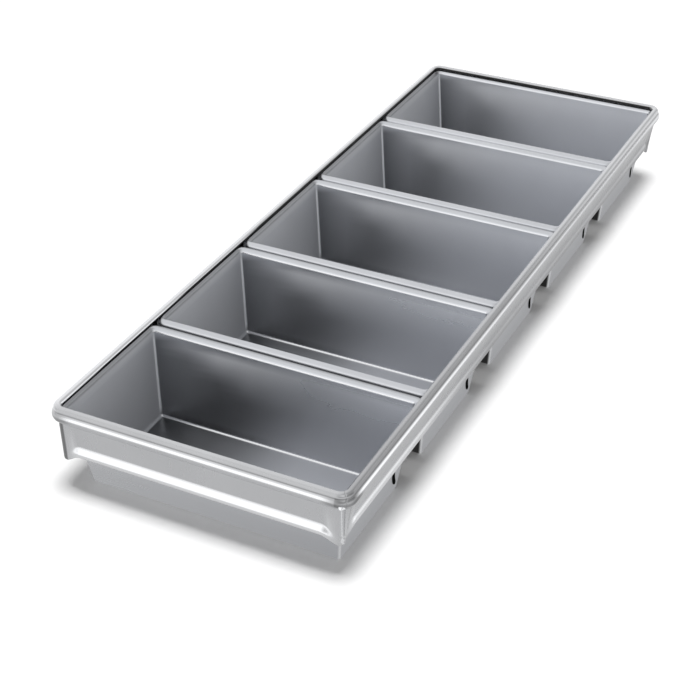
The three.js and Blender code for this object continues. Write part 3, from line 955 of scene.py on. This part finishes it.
def floor_material():
    """White paper that glows a little for the camera; in the metal's mirror image its shadow is weaker."""
    material = bpy.data.materials.new("studio_floor")
    material.use_nodes = True
    tree = material.node_tree
    tree.nodes.remove(tree.nodes["Principled BSDF"])
    path = tree.nodes.new("ShaderNodeLightPath").outputs
    beside, away = paper(tree, MIRROR_WHITE, MIRROR_GLOW), paper(tree, MIRROR_WHITE, MIRROR_GLOW_FAR)
    mirrored = mix_shader(tree, distance_from_object(tree), beside, away)
    plain, glowing = paper(tree, FLOOR_WHITE, 0), paper(tree, FLOOR_WHITE, FLOOR_GLOW)
    surface = mix_shader(tree, path["Is Camera Ray"], plain, glowing)
    surface = mix_shader(tree, path["Is Glossy Ray"], surface, mirrored)
    tree.links.new(surface, tree.nodes["Material Output"].inputs["Surface"])
    return material


# Stage, light and camera
def add_floor():
    mesh = bpy.data.meshes.new("floor")
    mesh.from_pydata([(FLOOR_SIZE * sx, FLOOR_SIZE * sy, 0) for sx, sy in CORNERS], [], [(0, 1, 2, 3)])
    mesh.materials.append(floor_material())
    floor = bpy.data.objects.new("floor", mesh)
    bpy.context.scene.collection.objects.link(floor)


def toward(tree, direction):
    """Cosine of the angle between a ray of the room's light and a direction."""
    place = tree.nodes.new("ShaderNodeTexCoord").outputs["Generated"]
    direction = Vector(direction).normalized()
    return calculate(tree, "ShaderNodeVectorMath", "DOT_PRODUCT", place, direction)["Value"]


def add_world():
    """Pale room as the metal mirrors it, a weaker even fill for the floor, and white for the camera."""
    world = bpy.data.worlds.new("studio")
    bpy.context.scene.world = world
    world.use_nodes = True
    tree = world.node_tree
    ends = (ROOM_LEFT_END, ROOM_RIGHT_END, ROOM_LEFT, ROOM_RIGHT)
    room = map_range(tree, toward(tree, (1, 0, 0)), *ends, "SMOOTHSTEP")
    for panel in (FRONT_PANEL, RIGHT_PANEL, CORNER_PANEL):
        across = toward(tree, panel.toward)
        glow = map_range(tree, across, panel.begins, panel.full, 0, panel.light, "SMOOTHSTEP")
        room = calculate(tree, "ShaderNodeMath", "ADD", room, glow)[0]
    path = tree.nodes.new("ShaderNodeLightPath").outputs
    light = mix_number(tree, path["Is Diffuse Ray"], room, FILL_LIGHT)
    light = mix_number(tree, path["Is Camera Ray"], light, 1.0)
    background = tree.nodes["Background"]
    tree.links.new(light, background.inputs["Strength"])
    background.inputs["Color"].default_value = (1, 1, 1, 1)


def add_key():
    """Wide soft lamp overhead that draws the shadow."""
    data = bpy.data.lights.new("key", "SUN")
    data.energy = KEY_LIGHT
    data.angle = math.radians(KEY_ANGLE)
    lamp = bpy.data.objects.new("key", data)
    bpy.context.scene.collection.objects.link(lamp)
    lamp.rotation_mode = "QUATERNION"
    lamp.rotation_quaternion = Vector(KEY_FROM).to_track_quat("Z", "Y")
    lamp.visible_glossy = False


def add_camera():
    azimuth, elevation, roll = (math.radians(a) for a in (CAMERA_AZIMUTH, CAMERA_ELEVATION, CAMERA_ROLL))
    level = math.cos(elevation)
    back = Vector((math.sin(azimuth) * level, -math.cos(azimuth) * level, math.sin(elevation)))
    right = back.cross(Vector((0, 0, -1))).normalized()
    up = back.cross(right)
    data = bpy.data.cameras.new("camera")
    data.sensor_width = SENSOR
    data.lens = FOCAL_PIXELS * SENSOR / PHOTO_PIXELS
    data.clip_start, data.clip_end = CAMERA_CLIP
    camera = bpy.data.objects.new("camera", data)
    bpy.context.scene.collection.objects.link(camera)
    turned = Matrix((right, up, back)).transposed().to_4x4() @ Matrix.Rotation(roll, 4, "Z")
    place = (Vector(CAMERA_TARGET) + back * CAMERA_DISTANCE) * MM
    camera.matrix_world = Matrix.Translation(place) @ turned
    bpy.context.scene.camera = camera


bpy.context.scene.view_settings.view_transform = "Standard"
pan_metal = metal_material("pan_metal", PAN_COLOUR, PAN_ROUGHNESS, PAN_MARKS, PAN_LOW_COLOUR)
strap_metal = metal_material("strap_metal", STRAP_COLOUR, STRAP_ROUGHNESS, STRAP_MARKS)
# near-black strips of painted shade at the pans' back corners
corner_shade_paint = dark_material("corner_shade_paint")
wire_metal = metal_material("wire_metal", WIRE_COLOUR, WIRE_ROUGHNESS, WIRE_MARKS)
for pan in range(1, PAN_COUNT + 1):
    pan_shell(pan, pan_metal, corner_shade_paint)
    dress_rim_wire(pan, wire_metal)
strap_band(strap_metal)
corner_weld(strap_metal)
add_floor()
add_world()
add_key()
add_camera()
